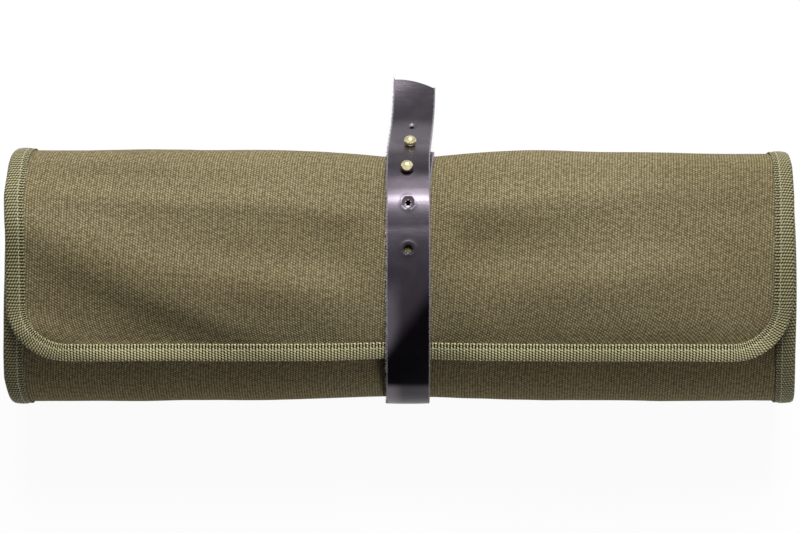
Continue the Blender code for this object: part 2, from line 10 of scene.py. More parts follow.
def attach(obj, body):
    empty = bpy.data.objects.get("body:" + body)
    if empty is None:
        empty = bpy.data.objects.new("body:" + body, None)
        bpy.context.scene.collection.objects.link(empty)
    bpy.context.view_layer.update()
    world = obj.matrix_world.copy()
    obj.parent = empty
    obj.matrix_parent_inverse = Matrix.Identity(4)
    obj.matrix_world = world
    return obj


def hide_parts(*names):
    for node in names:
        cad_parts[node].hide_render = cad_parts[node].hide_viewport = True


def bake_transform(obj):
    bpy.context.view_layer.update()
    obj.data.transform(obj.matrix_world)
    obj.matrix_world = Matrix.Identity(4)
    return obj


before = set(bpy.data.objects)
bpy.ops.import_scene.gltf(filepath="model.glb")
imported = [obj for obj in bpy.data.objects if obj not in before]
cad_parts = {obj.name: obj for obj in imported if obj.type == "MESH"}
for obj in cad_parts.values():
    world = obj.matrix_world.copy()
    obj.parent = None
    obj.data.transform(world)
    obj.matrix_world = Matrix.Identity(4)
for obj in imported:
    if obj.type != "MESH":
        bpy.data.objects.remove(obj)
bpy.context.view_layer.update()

dice = random.Random(11)
mm = 0.001


def newObject(name, data):
    thing = bpy.data.objects.new(name, data)
    bpy.context.scene.collection.objects.link(thing)
    return thing


def meshFrom(name, bm):
    mesh = bpy.data.meshes.new(name)
    bm.to_mesh(mesh)
    bm.free()
    return mesh


def turnTo(heading):
    return Vector((0, 0, 1)).rotation_difference(heading).to_matrix().to_4x4()


def lengthsAlong(points):
    return np.concatenate([[0.0], np.cumsum(np.linalg.norm(np.diff(points, axis=0), axis=1))])


# camera, straight down on the roll
view = {"lens": 109.35, "sensor": 36.0, "height": 1.47, "aimX": -0.0003, "aimY": -0.01586}
camera = newObject("camera", bpy.data.cameras.new("camera"))
camera.data.lens = view["lens"]
camera.data.sensor_width = view["sensor"]
camera.location = (view["aimX"], view["aimY"], view["height"])
bpy.context.scene.camera = camera
print("camera placed")


# how the panel is wound; wrap angles are degrees round the roll, 0 at the top, then over the back
roll = {"width": 0.448, "depth": 0.1474, "height": 0.0904, "tableFlat": 0.06, "centreZ": 0.0463,
        "standY": -0.0212638, "turn": 420.0, "bottom": 180.0, "tableTurn": 60.0,
        "lap": (322.0, 376.0, 0.0054), "growth": 0.015, "waistTop": 0.0027, "waistFront": 0.0017,
        "waistBack": 0.0039, "waistBottom": 0.0037, "waistReach": 0.095, "waistFlat": 0.015,
        "waistFade": (370.0, 440.0), "strapX": 0.0044, "sideX": 0.2, "flapTip": -41.5, "hinge": 35.0,
        "underside": 210.0, "innerEnd": 856.0, "arcStep": 0.25}
layers = {"canvas": 0.0012, "lining": 0.001, "liningTop": 0.0015, "tape": 0.0008, "tapeWide": 0.0114,
          "tapeTop": 0.0011, "cornerRadius": 0.034, "pocketOn": 0.0028, "strapWide": 0.025}


def smooth(value):
    value = np.clip(value, 0.0, 1.0)
    return value * value * (3 - 2 * value)


def rising(value, start, reach):
    return smooth((value - start) / reach)


def bell(value, middle, reach):
    return np.exp(-((value - middle) / reach) ** 2)


def rollPlace(wrap, x, depth):
    wrap, x, depth = np.broadcast_arrays(*(np.asarray(item, float) for item in (wrap, x, depth)))
    lapStart, lapEnd, lapInset = roll["lap"]
    inset = lapInset * rising(wrap, lapStart, lapEnd - lapStart) + depth
    inset = inset + roll["growth"] * np.maximum(0.0, (wrap - roll["turn"]) / roll["turn"])
    around = np.mod(wrap, roll["turn"])
    bottom, table = roll["bottom"], roll["tableTurn"]
    onTable = (around > bottom) & (around < bottom + table)
    angle = np.radians(np.where(around <= bottom, around, np.where(onTable, bottom, around - table)))
    slide = np.where(around <= bottom, 1.0, np.where(onTable, 1 - 2 * (around - bottom) / table, -1.0))
    away = (np.abs(x - roll["strapX"]) - roll["waistFlat"]) / (roll["waistReach"] - roll["waistFlat"])
    fadeStart, fadeEnd = roll["waistFade"]
    waist = np.maximum(0.0, 1 - np.maximum(0.0, away)) ** 2
    waist = waist * (1 - rising(wrap, fadeStart, fadeEnd - fadeStart))
    up, side = np.cos(angle), np.sin(angle)
    reach = roll["depth"] / 2 - inset - np.where(side > 0, roll["waistBack"], roll["waistFront"]) * waist
    rise = roll["height"] / 2 - inset - np.where(up >= 0, roll["waistTop"], roll["waistBottom"]) * waist
    half = roll["tableFlat"] / 2
    y = np.where(up >= 0, reach * side, half * slide + (reach - half) * side)
    return np.stack([x, y + roll["standY"], roll["centreZ"] + rise * up], axis=-1)


arcWraps = np.arange(roll["flapTip"], roll["innerEnd"] + roll["arcStep"], roll["arcStep"])
arcLengths = lengthsAlong(rollPlace(arcWraps, roll["sideX"], 0.0))


def wrapAt(distance):
    return np.interp(distance, arcLengths, arcWraps)


def distanceAt(wrap):
    return float(np.interp(wrap, arcWraps, arcLengths))


underside = distanceAt(roll["underside"])
innerEnd = distanceAt(roll["innerEnd"])

# half widths of the panel, as shares of half the flap's width, by wrap
edgeShares = {
    "left": ((-60, 1.0), (20, 1.0), (39, 1.007), (62, 1.008), (70, 1.007), (82, 1.004), (95, 1.003),
             (150, 1.003), (240, 1.012), (300, 1.01), (330, 1.013), (345, 1.018), (361, 1.022),
             (378, 1.018), (390, 1.014), (420, 1.008), (900, 1.006)),
    "right": ((-60, 0.993), (-20, 0.993), (21, 1.0), (40, 1.0045), (69, 1.006), (82, 1.01),
              (95, 1.014), (150, 1.014), (240, 1.02), (330, 1.028), (361, 1.017), (378, 1.012),
              (390, 1.01), (420, 1.008), (900, 1.006))}


def edgeAt(wrap, side):
    wraps, shares = zip(*edgeShares[side])
    return (-1 if side == "left" else 1) * roll["width"] / 2 * np.interp(wrap, wraps, shares)


# soft swells over what is rolled inside, in mm: x, y, half length, half width, turn in degrees, height
swells = ((-179, 17, 90, 12, -19, 6.2), (-107, 44, 86, 6, -3, 5.0), (-58, -7, 36, 8, -7, 3.7),
          (-202, -35, 31, 7, -14, 3.4), (-187, 66, 60, 18, 5, 5.0), (68, 36, 77, 7, 9, 2.7),
          (107, -3, 48, 11, 6, 5.0), (-18, 14, 70, 6, -1, -1.8), (182, 36, 52, 19, 56, 5.0),
          (130, -30, 63, 17, -7, 4.6), (12, -31, 66, 16, -7, 5.6), (178, 24, 27, 20, 31, -5.6),
          (-152, 52, 52, 7, -5, -6.0), (30, 41, 48, 5, 6, 4.8), (-119, -21, 51, 8, -21, 3.6),
          (179, 69, 78, 6, 0, 4.0))
# the cloth's other relief; pairs are where a change starts or has its middle, and its reach
sag = {"before": 60.0, "outerWrap": 300.0, "least": 0.0004, "clearOfStrap": (0.014, 0.03),
       "groove": 0.0012, "besideStrap": (0.0132, 0.005), "downBack": (62.0, 30.0), "tip": 0.00506,
       "tipWide": 0.0142, "tipSteep": 0.15, "onTable": (40.0, 40.0), "inside": (385.0, 30.0),
       "front": 0.0011, "frontX": (0.0, 0.12), "frontWrap": (330.0, 26.0),
       "back": 0.0022, "backX": (0.03, 0.18), "backWrap": (85.0, 30.0),
       "rough": ((0.0008, 19.0, 3.1), (0.00012, 70.0, 8.4))}  # height, scale, level


def roughAt(x, distance):
    return sum(noise.noise(Vector((x * scale, distance * scale, level))) * height
               for height, scale, level in sag["rough"])


def relief(wrap, x, distance):
    around = np.mod(wrap + sag["before"], roll["turn"]) - sag["before"]
    outer = (wrap < sag["outerWrap"]).astype(float)
    y = roll["depth"] / 2 * np.sin(np.radians(around))
    swell = np.zeros(len(x))
    for middleX, middleY, halfLong, halfWide, turn, height in swells:
        cosine, sine = math.cos(math.radians(turn)), math.sin(math.radians(turn))
        across, up = x - middleX * mm, y - middleY * mm
        along = (across * cosine + up * sine) / (halfLong * mm)
        aside = (up * cosine - across * sine) / (halfWide * mm)
        swell += height * mm * np.exp(-(along ** 2 + aside ** 2) / 2)
    swell = (swell + np.sqrt(swell ** 2 + sag["least"] ** 2)) / 2
    fromStrap = np.abs(x - roll["strapX"])
    clearOfStrap = rising(fromStrap, *sag["clearOfStrap"])
    beside = sag["groove"] * rising(fromStrap, *sag["besideStrap"])
    lift = (swell * clearOfStrap + beside) * outer * (1 - rising(around, *sag["downBack"]))
    near = np.clip(1 - distance / sag["tipWide"], 0.0, 1.0)
    lift += sag["tip"] * near ** 2 / (near + sag["tipSteep"]) * clearOfStrap
    fromTable = np.abs(np.mod(wrap, roll["turn"]) - roll["underside"])
    rough = np.array([roughAt(a, b) for a, b in zip(x, distance)])
    outward = rough * rising(fromTable, *sag["onTable"]) * (1 - rising(wrap, *sag["inside"]))
    outward -= sag["front"] * bell(x, *sag["frontX"]) * bell(wrap, *sag["frontWrap"])
    outward -= sag["back"] * rising(x, *sag["backX"]) * bell(around, *sag["backWrap"]) * outer
    return outward, lift


def clothPlace(x, distance, depth):
    x, distance, depth = np.broadcast_arrays(x, distance, depth)
    wrap = wrapAt(distance)
    outward, lift = relief(wrap, x, distance)
    spots = rollPlace(wrap, x, depth - outward)
    spots[..., 2] += lift
    return spots


# shader building
def plug(tree, value, socket):
    if isinstance(value, bpy.types.NodeSocket):
        tree.links.new(value, socket)
    elif socket.type == "RGBA":
        socket.default_value = (*value, 1)
    else:
        socket.default_value = value


def addNode(tree, kind, sockets=None, **settings):
    node = tree.nodes.new(kind)
    for name, value in settings.items():
        setattr(node, name, value)
    for label, value in (sockets or {}).items():
        plug(tree, value, node.inputs[label])
    return node


def sums(tree, operation, *values):
    return addNode(tree, "ShaderNodeMath", dict(enumerate(values)), operation=operation).outputs[0]


def vectors(tree, operation, sockets):
    return addNode(tree, "ShaderNodeVectorMath", sockets, operation=operation).outputs[0]


def plus(tree, first, second):
    return sums(tree, "ADD", first, second)


def minus(tree, first, second):
    return sums(tree, "SUBTRACT", first, second)


def times(tree, first, second):
    return sums(tree, "MULTIPLY", first, second)


def spread(tree, value, low, high, start=0.0, end=1.0, kind="SMOOTHSTEP"):
    sockets = {"Value": value, "From Min": low, "From Max": high, "To Min": start, "To Max": end}
    return addNode(tree, "ShaderNodeMapRange", sockets, interpolation_type=kind).outputs["Result"]


def mixColours(tree, share, first, second, kind="MIX"):
    sockets = {0: share, 6: first, 7: second}
    return addNode(tree, "ShaderNodeMix", sockets, data_type="RGBA", blend_type=kind).outputs[2]


def cloud(tree, vector, scale, detail=2.0, roughness=0.5, stretch=None):
    if stretch:
        vector = addNode(tree, "ShaderNodeMapping", {"Vector": vector, "Scale": stretch}).outputs[0]
    sockets = {"Vector": vector, "Scale": scale, "Detail": detail, "Roughness": roughness}
    return addNode(tree, "ShaderNodeTexNoise", sockets).outputs["Fac"]


def parts(tree, vector):
    return addNode(tree, "ShaderNodeSeparateXYZ", {0: vector}).outputs


def objectPlace(tree):
    return addNode(tree, "ShaderNodeTexCoord").outputs["Object"]


def clothUv(tree):
    return addNode(tree, "ShaderNodeUVMap", uv_map="cloth").outputs[0]


def newGroup(name, vector, numbers, made):
    group = bpy.data.node_groups.new(name, "ShaderNodeTree")
    group.interface.new_socket(vector, in_out="INPUT", socket_type="NodeSocketVector")
    for label, value in numbers.items():
        socket = group.interface.new_socket(label, in_out="INPUT", socket_type="NodeSocketFloat")
        socket.default_value = value
    for label in made:
        group.interface.new_socket(label, in_out="OUTPUT", socket_type="NodeSocketFloat")
    return group, group.nodes.new("NodeGroupInput").outputs, group.nodes.new("NodeGroupOutput").inputs


def useGroup(tree, group, values):
    return addNode(tree, "ShaderNodeGroup", values, node_tree=group).outputs


cloudRange = (0.3, 0.7)  # most of a noise lies between these
slubRange = (0.7, 1.3)
looseFibres = {"share": 0.28, "height": 0.35}


# threads as waves over the cloth: crossings, a lean and columns
def plainWeaveGroup():
    look = {"wobble": 160.0, "over": (-0.7, 0.8), "slubAcross": (60.0, 1250.0, 1.0), "slub": 0.35,
            "slubAlong": (640.0, 60.0, 1.0), "plain": 0.65, "mottle": (470.0, 3.0, 0.7)}
    numbers = {"Across": 0.0015, "Along": 0.0008, "Wander": 0.0002, "Speckle": 1.3, "Turn": 0.0576,
               "Cross": 0.32, "Lean": 0.15, "Columns": 0.33}
    group, given, made = newGroup("plainWeave", "Cloth", numbers, ("Over", "Height", "Slub"))
    turning = {"Vector": given["Cloth"], "Angle": given["Turn"]}
    cloth = addNode(group, "ShaderNodeVectorRotate", turning, rotation_type="Z_AXIS").outputs[0]
    wobble = addNode(group, "ShaderNodeTexNoise", {"Vector": cloth, "Scale": look["wobble"], "Detail": 1.0})
    centred = vectors(group, "SUBTRACT", {0: wobble.outputs["Color"], 1: (0.5, 0.5, 0.5)})
    scaled = vectors(group, "SCALE", {0: centred, "Scale": given["Wander"]})
    spot = parts(group, vectors(group, "ADD", {0: cloth, 1: scaled}))
    across = sums(group, "DIVIDE", times(group, spot[0], math.pi), given["Across"])
    along = sums(group, "DIVIDE", times(group, spot[1], math.pi), given["Along"])
    cross = times(group, sums(group, "SINE", across), sums(group, "SINE", along))
    lean = sums(group, "COSINE", plus(group, across, along))
    columns = sums(group, "COSINE", times(group, across, 2.0))
    beads = minus(group, times(group, cross, given["Cross"]), times(group, lean, given["Lean"]))
    beads = minus(group, beads, times(group, columns, given["Columns"]))
    slubs = [cloud(group, cloth, 1.0, 1.0, stretch=look[name]) for name in ("slubAcross", "slubAlong")]
    mottle = minus(group, cloud(group, cloth, *look["mottle"]), 0.5)
    slub = plus(group, times(group, plus(group, *slubs), look["slub"]), look["plain"])
    plug(group, spread(group, beads, *look["over"], kind="LINEAR"), made["Over"])
    plug(group, beads, made["Height"])
    plug(group, plus(group, slub, times(group, mottle, given["Speckle"])), made["Slub"])
    return group


def rubbedGroup():
    look = {"patches": 14.0, "detail": 3.0, "fibres": 2600.0}
    group, given, made = newGroup("rubbed", "Place", {"Scale": look["patches"]}, ("Patches", "Fibres"))
    broad = cloud(group, given["Place"], given["Scale"], look["detail"])
    plug(group, spread(group, broad, *cloudRange), made["Patches"])
    plug(group, cloud(group, given["Place"], look["fibres"]), made["Fibres"])
    return group


plainWeave = plainWeaveGroup()
rubbed = rubbedGroup()


plainSockets = {"roughness": "Roughness", "gloss": "Specular IOR Level", "glossTint": "Specular Tint",
                "sheen": "Sheen Weight", "metal": "Metallic"}


def newMaterial(name, look):
    material = bpy.data.materials.new(name)
    material.use_nodes = True
    tree = material.node_tree
    shader = tree.nodes["Principled BSDF"].inputs
    for label, socket in plainSockets.items():
        if label in look:
            plug(tree, look[label], shader[socket])
    return material, tree, shader


def cover(tree, shader, colour, height, distance):
    plug(tree, colour, shader["Base Color"])
    bump = addNode(tree, "ShaderNodeBump", {"Height": height, "Distance": distance, "Strength": 1.0})
    plug(tree, bump.outputs[0], shader["Normal"])


def wear(tree, colour, look):
    worn = useGroup(tree, rubbed, {"Place": objectPlace(tree), "Scale": look["patchScale"]})
    patches = times(tree, worn["Patches"], look["patches"])
    return mixColours(tree, patches, colour, look["tint"], "MULTIPLY"), worn["Fibres"]


def wovenMaterial(name, look):
    material, tree, shader = newMaterial(name, look)
    weave = useGroup(tree, plainWeave, {"Cloth": clothUv(tree), **look["weave"]})
    # the dark tone in the low gaps between threads is partly the cloth's own tone and partly painted shade
    colour = mixColours(tree, weave["Over"], look["dark"], look["light"])
    slub = spread(tree, weave["Slub"], *slubRange, *look["slub"])
    colour = mixColours(tree, 1.0, colour, slub, "MULTIPLY")
    colour, fibres = wear(tree, colour, look)
    loose = spread(tree, fibres, *cloudRange, 0.0, looseFibres["share"])
    colour = mixColours(tree, loose, colour, look["dark"])
    height = plus(tree, weave["Height"], times(tree, fibres, looseFibres["height"]))
    cover(tree, shader, colour, height, look["bump"])
    return material


canvasLook = {"light": (0.275, 0.234, 0.134), "dark": (0.03, 0.0225, 0.009), "tint": (0.78, 0.74, 0.66),
              "weave": {"Across": 0.00155, "Along": 0.000765, "Wander": 0.00035, "Speckle": 2.6},
              "roughness": 0.75, "gloss": 0.04, "slub": (0.72, 1.3), "patchScale": 11.0, "patches": 0.5,
              "bump": 0.000125}
liningLook = {"light": (0.17, 0.152, 0.1), "dark": (0.075, 0.066, 0.045), "tint": (0.82, 0.8, 0.74),
              "weave": {"Across": 0.0008, "Along": 0.0006},
              "roughness": 0.9, "gloss": 0.15, "slub": (0.85, 1.12), "patchScale": 16.0, "patches": 0.4,
              "bump": 0.00012}


# ribs across the tape, a row of squares along its inner edge, and a painted tone towards the front: painted
# light on the flap, painted shade on the lower tapes
def tapeMaterialNodes(name, light, paintedFrontTone):
    look = {"dark": (0.01, 0.0085, 0.0035), "fibreScale": 2400.0, "fibres": 0.3,
            "weave": {"Across": 0.001785, "Along": 0.00095, "Wander": 0.0004, "Speckle": 1.0,
                      "Turn": 0.0, "Cross": 0.2, "Lean": 0.3, "Columns": 0.5},
            "over": (-0.45, 0.85), "seamIn": (0.008, 0.0085), "seamOut": (0.0107, 0.0102),
            "squares": (-0.3, 0.1), "paintedFrontY": (-0.04, -0.06), "tint": (0.8, 0.78, 0.7),
            "patchScale": 16.0, "patches": 0.35, "roughness": 0.5, "gloss": 0.08, "bump": 0.00014}
    material, tree, shader = newMaterial(name, look)
    uv = clothUv(tree)
    along, across = parts(tree, uv)[:2]
    mirrored = addNode(tree, "ShaderNodeMapping", {"Vector": uv, "Scale": (-1.0, 1.0, 1.0)}).outputs[0]
    weave = useGroup(tree, plainWeave, {"Cloth": mirrored, **look["weave"]})
    height = plus(tree, weave["Height"], times(tree, cloud(tree, uv, look["fibreScale"]), look["fibres"]))
    rib = sums(tree, "COSINE", times(tree, along, 2 * math.pi / look["weave"]["Across"]))
    seam = times(tree, spread(tree, across, *look["seamIn"]), spread(tree, across, *look["seamOut"]))
    holes = times(tree, seam, spread(tree, rib, *look["squares"]))
    # the dark tone in the low gaps between ribs is partly the tape's own tone and partly painted shade
    over = times(tree, spread(tree, height, *look["over"]), minus(tree, 1.0, holes))
    # painted light and shade: the front tone is paler on the flap's tape and darker on the shaded copy
    front = spread(tree, parts(tree, objectPlace(tree))[1], *look["paintedFrontY"])
    colour = mixColours(tree, over, look["dark"], mixColours(tree, front, light, paintedFrontTone))
    cover(tree, shader, wear(tree, colour, look)[0], height, look["bump"])
    return material


def threadMaterialNodes():
    look = {"dark": (0.2, 0.19, 0.12), "light": (0.46, 0.44, 0.29), "roughness": 0.6, "sheen": 0.1,
            "twist": (1800.0, 1.0), "bump": 0.0001}
    material, tree, shader = newMaterial("sewingThread", look)
    twist = cloud(tree, objectPlace(tree), *look["twist"])
    colour = mixColours(tree, spread(tree, twist, *cloudRange), look["dark"], look["light"])
    cover(tree, shader, colour, twist, look["bump"])
    return material


def leatherMaterialNodes():
    # paints light and shade on the strap: the gloss ramp by length along it paints highlight bands and
    # darker bands;
    # where its front turns down, a near-black colour and almost no gloss paint shade; its left side there
    # keeps a painted reflection streak
    look = {"base": (0.008, 0.0065, 0.009), "scuff": (0.03, 0.026, 0.033), "edge": (0.2, 0.185, 0.21),
            "dullAndPaintedShade": (0.0012, 0.001, 0.0013), "glossTint": (1.0, 0.87, 1.02), "gloss": 0.27,
            "paintedShadeGloss": 0.01, "paintedHighlightStart": 0.25, "paintedHighlightReach": 0.2, "slant": 1.3,
            "paintedHighlightGloss": ((0.345, 0.27), (0.358, 0.38), (0.364, 0.75), (0.3675, 1.0), (0.3715, 1.0),
                       (0.375, 0.38), (0.379, 0.16), (0.383, 0.155), (0.387, 0.11), (0.392, 0.22),
                       (0.398, 0.3), (0.404, 0.32), (0.41, 0.7), (0.4145, 1.0), (0.44, 1.0)),
            "paintedShadeFrom": (0.312, 0.294), "paintedShadeTo": (0.2575, 0.265), "paintedStreakX": (-0.002, -0.011),
            "paintedStreakFrom": (0.33, 0.31),
            "smudges": (42.0, 4.0, 0.6), "smudgeRange": (0.45, 0.75), "smudgeShare": 0.5, "share": 0.85,
            "grain": (900.0, 4.0, 0.6), "grainHeight": 0.22, "fuzz": 0.0022, "rawFrom": (-0.0002, -0.0009),
            "fuzzCloud": (3.0, 0.7, (1500.0, 1100.0, 1.0)), "creases": (3.0, 0.6, (60.0, 240.0, 1.0)),
            "creaseHeight": 0.3, "roughRange": (0.3, 0.75), "rough": (0.3, 0.42), "edgeRough": 0.4,
            "bump": 0.00022}
    material, tree, shader = newMaterial("strapLeather", look)
    uv, place = clothUv(tree), objectPlace(tree)
    across, along = parts(tree, uv)[:2]
    smudge = cloud(tree, place, *look["smudges"])
    fromEdge = minus(tree, layers["strapWide"] / 2, sums(tree, "ABSOLUTE", across))
    fuzz = times(tree, cloud(tree, uv, 1.0, *look["fuzzCloud"]), look["fuzz"])
    edge = spread(tree, minus(tree, fromEdge, fuzz), *look["rawFrom"])
    slant = minus(tree, along, times(tree, across, look["slant"]))
    # painted shade: where the strap's front turns down it is darkened and its gloss almost taken away
    dullAndPaintedShade = times(tree, spread(tree, slant, *look["paintedShadeFrom"]), spread(tree, along, *look["paintedShadeTo"]))
    scuffed = spread(tree, smudge, *look["smudgeRange"], 0.0, look["smudgeShare"])
    colour = mixColours(tree, scuffed, look["base"], look["scuff"])
    colour = mixColours(tree, times(tree, dullAndPaintedShade, look["share"]), colour, look["dullAndPaintedShade"])
    colour = mixColours(tree, times(tree, edge, look["share"]), colour, look["edge"])
    rough = spread(tree, smudge, *look["roughRange"], *look["rough"])
    plug(tree, plus(tree, rough, times(tree, edge, look["edgeRough"])), shader["Roughness"])
    # painted highlights: the gloss ramp along the strap paints highlight bands and darker bands
    start, reach = look["paintedHighlightStart"], look["paintedHighlightReach"]
    share = spread(tree, along, start, start + reach, kind="LINEAR")
    ramp = addNode(tree, "ShaderNodeValToRGB", {"Fac": share})
    marks = ramp.color_ramp.elements
    for mark in marks:
        mark.color = (look["gloss"], look["gloss"], look["gloss"], 1)
    for length, gloss in look["paintedHighlightGloss"]:
        marks.new((length - start) / reach).color = (gloss, gloss, gloss, 1)
    # a painted reflection streak: full gloss along the left side of the strap's front
    paintedStreak = spread(tree, across, *look["paintedStreakX"])
    paintedStreak = times(tree, paintedStreak, spread(tree, along, *look["paintedStreakFrom"]))
    paintedHighlightGloss = spread(tree, paintedStreak, 0.0, 1.0, ramp.outputs["Color"], 1.0, "LINEAR")
    gloss = spread(tree, dullAndPaintedShade, 0.0, 1.0, paintedHighlightGloss, look["paintedShadeGloss"], "LINEAR")
    plug(tree, gloss, shader["Specular IOR Level"])
    grain = times(tree, cloud(tree, place, *look["grain"]), look["grainHeight"])
    creases = times(tree, cloud(tree, uv, 1.0, *look["creases"]), look["creaseHeight"])
    cover(tree, shader, colour, plus(tree, grain, creases), look["bump"])
    return material


def fibreMaterialNodes():
    look = {"dark": (0.12, 0.105, 0.125), "light": (0.46, 0.43, 0.48), "roughness": 0.85, "sheen": 0.2,
            "mottle": 700.0}
    material, tree, shader = newMaterial("leatherFibres", look)
    mottle = cloud(tree, objectPlace(tree), look["mottle"])
    plug(tree, mixColours(tree, mottle, look["dark"], look["light"]), shader["Base Color"])
    return material


def brassMaterialNodes():
    look = {"clean": (0.72, 0.65, 0.4), "dullAndPaintedShade": (0.4, 0.35, 0.17), "tarnish": (260.0, 4.0, 0.6),
            "dullRange": (0.35, 0.7), "roughRange": (0.3, 0.75), "rough": (0.14, 0.3), "grain": 1500.0,
            "metal": 1.0, "bump": 0.00003}
    material, tree, shader = newMaterial("turnedBrass", look)
    place = objectPlace(tree)
    tarnish = cloud(tree, place, *look["tarnish"])
    colour = mixColours(tree, spread(tree, tarnish, *look["dullRange"]), look["clean"], look["dullAndPaintedShade"])
    plug(tree, spread(tree, tarnish, *look["roughRange"], *look["rough"]), shader["Roughness"])
    cover(tree, shader, colour, cloud(tree, place, look["grain"]), look["bump"])
    return material


canvasMaterial = wovenMaterial("waxedCanvas", canvasLook)
liningMaterial = wovenMaterial("cottonLining", liningLook)
tapeMaterial = tapeMaterialNodes("ribbedTape", (0.284, 0.262, 0.144), (0.5, 0.462, 0.258))
# a darker copy of the tape for the lower layer and the inner end: painted shade
shadedTapeMaterial = tapeMaterialNodes("ribbedTapePaintedShade", (0.262, 0.242, 0.135), (0.235, 0.214, 0.115))
threadMaterial = threadMaterialNodes()
leatherMaterial = leatherMaterialNodes()
fibreMaterial = fibreMaterialNodes()
brassMaterial = brassMaterialNodes()
print("materials ready")


# cloth pieces: a flat grid laid out on the roll
def finishMesh(name, bm, material, crease):
    mesh = meshFrom(name, bm)
    mesh.shade_smooth()
    mesh.set_sharp_from_angle(angle=math.radians(crease))
    mesh.materials.append(material)
    piece = newObject(name, mesh)
    return piece


def clothGrid(across, along):
    bm = bmesh.new()
    bm.loops.layers.uv.new("cloth")
    bmesh.ops.create_grid(bm, x_segments=across, y_segments=along, size=0.5, calc_uvs=True)
    return bm


def layOut(name, across, along, place, flat, thick, material, slotName, outerShare=1.0, offset=-1.0):
    mesh = meshFrom(name, clothGrid(across, along))
    spots = np.empty(len(mesh.vertices) * 3)
    mesh.vertices.foreach_get("co", spots)
    shares = spots.reshape(-1, 3)[:, :2] + 0.5
    mesh.vertices.foreach_set("co", place(shares[:, 0], shares[:, 1]).ravel())
    layer = mesh.uv_layers["cloth"].data
    uvs = np.empty(len(layer) * 2)
    layer.foreach_get("uv", uvs)
    uvs = uvs.reshape(-1, 2)
    layer.foreach_set("uv", np.column_stack(flat(uvs[:, 0], uvs[:, 1])).ravel())
    mesh.update()
    centre = Vector((0, roll["standY"], roll["centreZ"]))
    facing = 0.0
    for face in mesh.polygons:
        if shares[face.vertices[0], 1] <= outerShare:
            out = face.center - centre
            facing += face.normal.dot(Vector((0, out.y, out.z)))
    if facing < 0:
        mesh.flip_normals()
    mesh.shade_smooth()
    mesh.materials.append(material)
    piece = newObject(name, mesh)
    wall = piece.modifiers.new("thickness", "SOLIDIFY")
    wall.thickness = thick
    wall.offset = offset
    return piece


def cornerIn(distance, radius):
    inside = np.clip(distance / radius, 0.0, 1.0)
    return radius * (1 - np.sqrt(1 - (1 - inside) ** 2))


cloths = {"canvas": (0.0, layers["canvas"], canvasMaterial),
          "lining_cloth": (layers["liningTop"], layers["lining"], liningMaterial)}


def panelSheet(name, start, end, inset, step, slotName):
    depth, thick, material = cloths[slotName]

    def place(u, v):
        distance = start + (end - start) * v
        wrap = wrapAt(distance)
        left = edgeAt(wrap, "left") + inset
        right = edgeAt(wrap, "right") - inset
        cut = cornerIn(distance - inset, layers["cornerRadius"] - inset)
        return clothPlace(left + cut + (right - left - 2 * cut) * u, distance, depth)

    def flat(u, v):
        return (u - 0.5) * roll["width"], start + (end - start) * v
    across, along = round(roll["width"] / step[0]), round((end - start) / step[1])
    return layOut(name, across, along, place, flat, thick, material, slotName)


canvas = {"inset": 0.004, "bodyInset": 0.0015, "endShort": 0.001, "grid": (0.0028, 0.0024),
          "innerGrid": (0.0036, 0.0033), "liningGrid": (0.007, 0.0045)}
flapSpan = (canvas["inset"], underside, canvas["inset"])
bodySpan = (underside, innerEnd - canvas["endShort"], canvas["bodyInset"])
flapCanvas = panelSheet("canvasFlapAndBack", *flapSpan, canvas["grid"], "canvas")
bodyCanvas = panelSheet("canvasBody", *bodySpan, canvas["innerGrid"], "canvas")
flapLining = panelSheet("liningFlapAndBack", *flapSpan, canvas["liningGrid"], "lining_cloth")
bodyLining = panelSheet("liningBody", *bodySpan, canvas["liningGrid"], "lining_cloth")
print("canvas and lining laid out")


# edge tape: folded over the edge along a path of (x, distance from the flap's tip, turn)
tape = {"ring": 0.0016, "around": 26, "faceShare": 0.42, "lip": 0.0004, "foldIn": 0.002,
        "foldHalf": 0.00195, "foldMiddle": 0.00125, "plump": 0.00035, "plumpFrom": 0.15,
        "press": 0.0002, "pressAt": (0.0096, 0.0007), "flatFold": 0.002, "outerShare": 0.35,
        "step": 0.002, "cornerStep": 2.0, "frontStep": 0.003, "frontGap": 0.004, "endGap": 0.0003,
        "endSteps": 80}


def tapeProfile(share):
    wide, foldIn, face = layers["tapeWide"], tape["foldIn"], tape["faceShare"]
    outside, inside = share < face, share > 1 - face
    outer = np.clip(share / face, 0, 1)
    inner = np.clip((share - 1 + face) / face, 0, 1)
    turn = (np.clip((share - face) / (1 - 2 * face), 0, 1) - 0.5) * math.pi
    folded = tape["lip"] + (foldIn - tape["lip"]) * (1 - np.cos(turn))
    folded = np.where(inside, foldIn + (wide - foldIn) * inner, folded)
    inwards = np.where(outside, wide - (wide - foldIn) * outer, folded)
    depth = np.where(outside, -1, np.where(inside, 1, np.sin(turn)))
    depth = tape["foldMiddle"] + tape["foldHalf"] * depth
    bulge = np.clip(outer * (1 + tape["plumpFrom"]) - tape["plumpFrom"], 0, 1)
    plump = np.where(outside, np.sin(math.pi * bulge), 0)
    press = np.where(outside, bell(inwards, *tape["pressAt"]), 0)
    return inwards, depth - tape["plump"] * plump + tape["press"] * press


def runLengths(xs, distances):
    return np.concatenate([[0.0], np.cumsum(np.hypot(np.diff(xs), np.diff(distances)))])


def tapeRun(name, xs, distances, turns, material):
    run = runLengths(xs, distances)

    def place(u, v):
        length = u * run[-1]
        x, distance, turn = (np.interp(length, run, values) for values in (xs, distances, turns))
        inwards, depth = tapeProfile(v)
        return clothPlace(x - inwards * np.cos(turn), distance + inwards * np.sin(turn), depth)

    def flat(u, v):
        half = layers["tapeWide"] + tape["flatFold"]
        return u * run[-1], np.abs(v * 2 - 1) * half - tape["flatFold"]
    return layOut(name, max(6, round(run[-1] / tape["ring"])), tape["around"], place, flat, layers["tape"],
                  material, "webbing_tape", outerShare=tape["outerShare"], offset=0.0)


